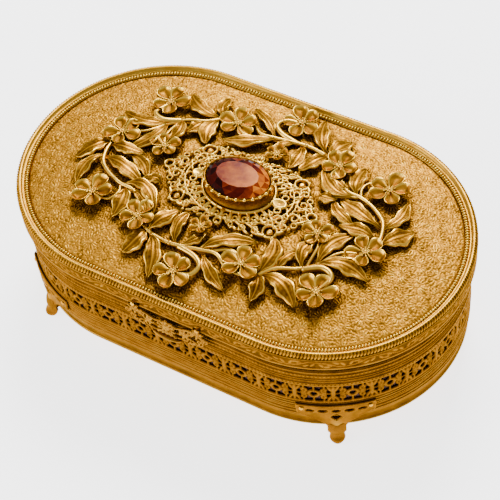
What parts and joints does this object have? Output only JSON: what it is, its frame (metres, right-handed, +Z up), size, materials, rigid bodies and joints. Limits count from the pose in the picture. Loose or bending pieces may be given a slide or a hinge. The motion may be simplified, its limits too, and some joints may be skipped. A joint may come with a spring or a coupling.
{
  "type": "trinket box",
  "caption": "Oval gilt brass trinket box on bracket feet, with a hinged domed lid carrying leaf and flower sprigs round an amber stone.",
  "frame": {"origin": "middle of the footprint, on the plane that the feet stand on", "axes": "+X along the box to the viewer's right, -Y towards the front with the lift ornament, +Z up"},
  "size_m": [0.23, 0.1456, 0.0854],
  "materials": {
    "gilt_brass": "antique gilt, satin with dark patina in the recesses",
    "pale_gilt": "bright antique gilt",
    "dark_brass": "aged brass, satin",
    "amber_stone": "polished, faceted",
    "wine_velvet": "short pile velvet",
    "oxblood_cloth": "matt backing cloth"
  },
  "bodies": {
    "box": {"inner_tub": "dark_brass", "bottom_plate": "dark_brass", "base_moulding": "gilt_brass", "lower_band": "gilt_brass", "pierced_gallery": "gilt_brass", "gallery_lining": "oxblood_cloth", "upper_band": "gilt_brass", "foot_front_left": "gilt_brass", "foot_front_right": "gilt_brass", "foot_back_left": "gilt_brass", "foot_back_right": "gilt_brass", "foot_rivets": "pale_gilt", "wall_lining": "wine_velvet", "floor_pad": "wine_velvet", "hinge_leaf_body": "dark_brass", "hinge_pin": "dark_brass", "hinge_rivets_body": "pale_gilt"},
    "lid": {"lid_plate": "pale_gilt", "lid_skirt": "gilt_brass", "lid_rim": "pale_gilt", "rim_beading": "pale_gilt", "lid_lining": "wine_velvet", "wreath_front": "gilt_brass", "wreath_back": "gilt_brass", "flowers_front": "pale_gilt", "flowers_back": "pale_gilt", "medallion": "gilt_brass", "medallion_rivets": "dark_brass", "bezel_cup": "gilt_brass", "bezel_beads": "pale_gilt", "jewel": "amber_stone", "lift_ornament": "gilt_brass", "lift_rivets": "pale_gilt", "hinge_leaf_lid": "dark_brass", "hinge_rivets_lid": "pale_gilt"}
  },
  "joints": [
    {"name": "lid_hinge", "type": "hinge", "parent": "box", "child": "lid", "pos_m": [0, 0.07125, 0.058], "axis": [-1, 0, 0], "range_deg": [0, 105]}
  ]
}
